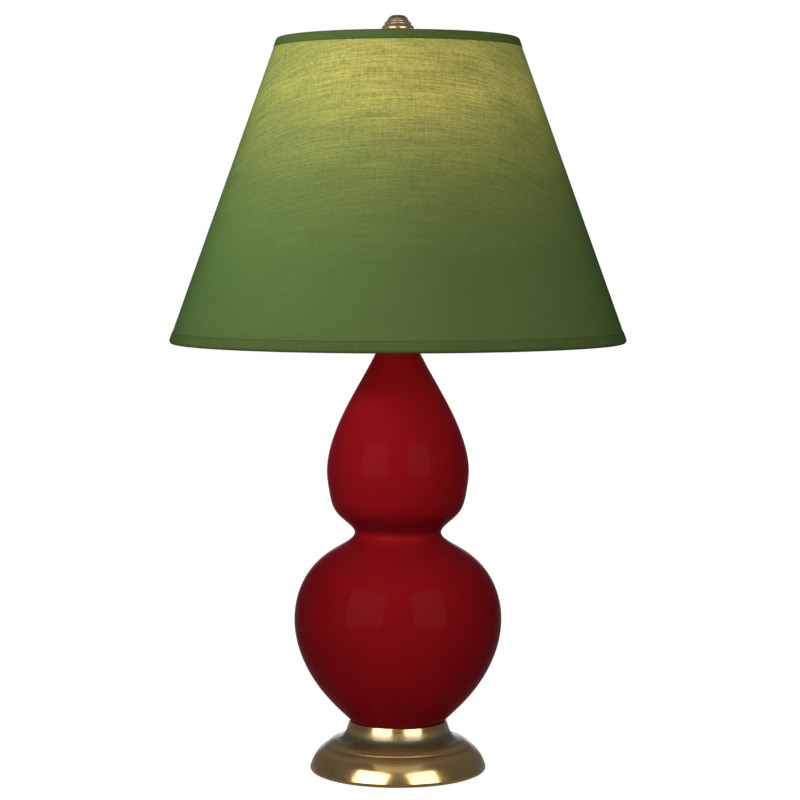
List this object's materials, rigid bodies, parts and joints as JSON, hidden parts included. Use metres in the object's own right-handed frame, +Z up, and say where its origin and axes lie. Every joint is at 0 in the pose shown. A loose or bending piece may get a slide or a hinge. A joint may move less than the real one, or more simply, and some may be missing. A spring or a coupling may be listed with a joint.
{
  "type": "table lamp",
  "caption": "Table lamp with a red glazed double gourd body, a stepped brass foot, a screw lampholder, a lift-off harp and a green fabric empire shade held by a finial.",
  "frame": {"origin": "centre of the felt underside, on the table", "axes": "+Z up along the lamp pipe, +Y to the back where the cord leaves, -Y to the viewer of the picture and to the switch key"},
  "size_m": [0.3478, 0.3478, 0.578],
  "materials": {
    "felt": "matt",
    "antique_brass": "satin, darkened",
    "cast_iron": "rough",
    "zinc_steel": "zinc plated",
    "brown_plastic": "satin",
    "rubber": "matt",
    "red_glaze": "high gloss",
    "bright_brass": "brushed",
    "card": "matt",
    "phenolic": "satin",
    "frosted_glass": "frosted",
    "bulb_aluminium": "bright",
    "black_glass": "gloss",
    "solder": "bright",
    "clear_glass": "clear",
    "hot_wire": "glowing",
    "green_cloth": "woven",
    "white_liner": "smooth",
    "trim_cloth": "woven tape"
  },
  "bodies": {
    "lamp": {"felt_pad": "felt", "base_shell": "antique_brass", "base_weight": "cast_iron", "bottom_washer": "zinc_steel", "bottom_nut": "zinc_steel", "lamp_pipe": "zinc_steel", "cord_bushing": "brown_plastic", "foot_gasket": "rubber", "gourd_body": "red_glaze", "neck_gasket": "rubber", "neck_cap": "antique_brass", "neck_spacer": "antique_brass", "harp_saddle": "bright_brass", "saddle_nut": "zinc_steel", "socket_cap": "bright_brass", "set_screw": "zinc_steel", "socket_shell": "bright_brass", "socket_liner": "card", "socket_core": "phenolic", "terminal_screws": "bright_brass", "thread_shell": "bright_brass", "centre_contact": "bright_brass"},
    "knob": {"switch_shaft": "zinc_steel", "switch_key": "brown_plastic"},
    "bulb": {"bulb_glass": "frosted_glass", "bulb_cap": "bulb_aluminium", "bulb_disc": "black_glass", "bulb_tip": "solder", "bulb_stem": "clear_glass", "bulb_filament": "hot_wire"},
    "harp": {"harp_frame": "bright_brass"},
    "left_sleeve": {"sleeve_left": "bright_brass"},
    "right_sleeve": {"sleeve_right": "bright_brass"},
    "shade_seat": {"harp_stud": "bright_brass"},
    "shade": {"shade_fabric": "green_cloth", "shade_liner": "white_liner", "shade_spider": "bright_brass", "shade_bottom_ring": "zinc_steel", "shade_top_tape": "trim_cloth", "shade_bottom_tape": "trim_cloth"},
    "finial_knob": {"finial": "antique_brass"}
  },
  "joints": [
    {"name": "switch_turn", "type": "hinge", "parent": "lamp", "child": "knob", "pos_m": [0, -0.02, 0.3948], "axis": [0, -1, 0], "continuous": true},
    {"name": "bulb_lift", "type": "slide", "parent": "lamp", "child": "bulb", "axis": [0, 0, 1], "range_m": [0, 0.024]},
    {"name": "harp_lift", "type": "slide", "parent": "lamp", "child": "harp", "axis": [0, 0, 1], "range_m": [0, 0.02]},
    {"name": "left_sleeve_slide", "type": "slide", "parent": "harp", "child": "left_sleeve", "axis": [0, 0, 1], "range_m": [0, 0.012]},
    {"name": "right_sleeve_slide", "type": "slide", "parent": "harp", "child": "right_sleeve", "axis": [0, 0, 1], "range_m": [0, 0.012]},
    {"name": "shade_turn", "type": "hinge", "parent": "harp", "child": "shade_seat", "pos_m": [0, 0, 0.5475], "axis": [0, 0, 1], "continuous": true},
    {"name": "shade_lift", "type": "slide", "parent": "shade_seat", "child": "shade", "axis": [0, 0, 1], "range_m": [0, 0.24]},
    {"name": "finial_turn", "type": "hinge", "parent": "shade", "child": "finial_knob", "pos_m": [0, 0, 0.552], "axis": [0, 0, 1], "continuous": true}
  ]
}
